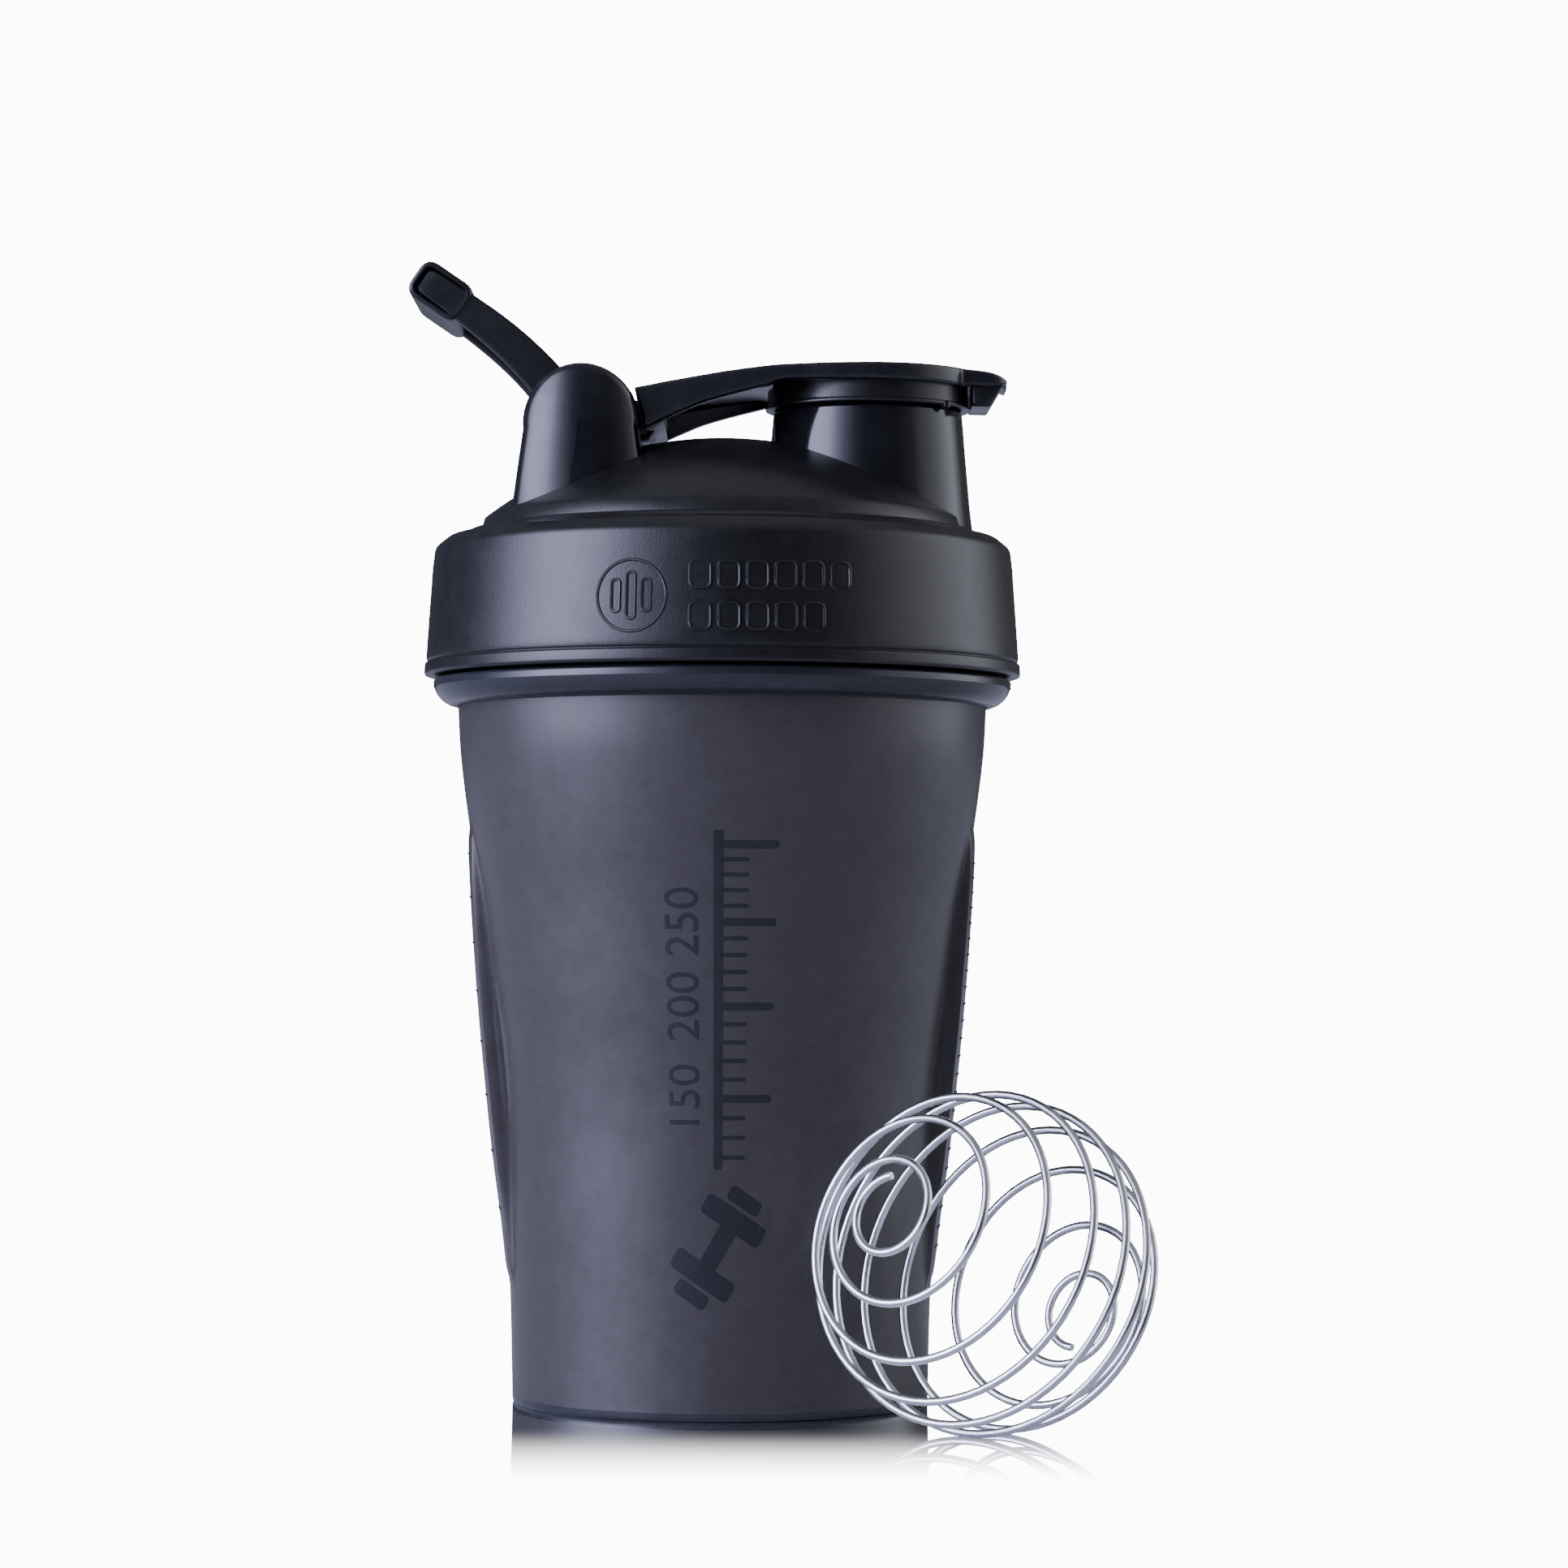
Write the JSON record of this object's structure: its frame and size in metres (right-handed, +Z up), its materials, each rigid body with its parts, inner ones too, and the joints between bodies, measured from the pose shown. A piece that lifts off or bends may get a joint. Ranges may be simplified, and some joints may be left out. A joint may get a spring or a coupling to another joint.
{
  "type": "protein shaker bottle",
  "caption": "Translucent shaker cup with a black screw lid, a flip cap over a drinking spout, a carry loop and a loose spiral wire mixing ball.",
  "frame": {"origin": "centre of the cup's flat base, on the surface that the bottle stands on", "axes": "+Z up along the bottle, +X from the hinge towers to the drinking spout, -Y to the front of the bottle"},
  "size_m": [0.1145, 0.1215, 0.1796],
  "materials": {
    "smoky_plastic": "smoky translucent polypropylene, satin",
    "black_plastic": "black polypropylene, fine satin grain with glossy spout and towers",
    "soft_seal": "soft grey silicone",
    "steel_wire": "polished stainless wire"
  },
  "bodies": {
    "cup": {"cup": "smoky_plastic"},
    "lid_seal": {"lid_seal": "soft_seal"},
    "lid": {"lid": "black_plastic"},
    "flip_cap": {"flip_cap": "black_plastic", "spout_seal": "soft_seal"},
    "carry_loop": {"carry_loop": "black_plastic"},
    "whisk_ball": {"whisk_ball": "steel_wire"}
  },
  "joints": [
    {"name": "lid_lift", "type": "slide", "parent": "cup", "child": "lid_seal", "axis": [0, 0, 1], "range_m": [0, 0.0241]},
    {"name": "lid_turn", "type": "hinge", "parent": "lid_seal", "child": "lid", "pos_m": [0, 0, 0.115], "axis": [0, 0, 1], "range_deg": [0, 720]},
    {"name": "flip_cap_hinge", "type": "hinge", "parent": "lid", "child": "flip_cap", "pos_m": [-0.022, 0, 0.1538], "axis": [0, -1, 0], "range_deg": [0, 76]},
    {"name": "carry_loop_hinge", "type": "hinge", "parent": "lid", "child": "carry_loop", "pos_m": [-0.022, 0, 0.1538], "axis": [0, -1, 0], "range_deg": [0, 68]},
    {"name": "whisk_ball_slide", "type": "slide", "parent": "cup", "child": "whisk_ball", "axis": [0.6292, -0.7773, 0], "range_m": [0, 0.1]}
  ],
  "couplings": [
    {"joint": "lid_lift", "follows": "lid_turn", "m_per_rad": 0.0019099}
  ]
}
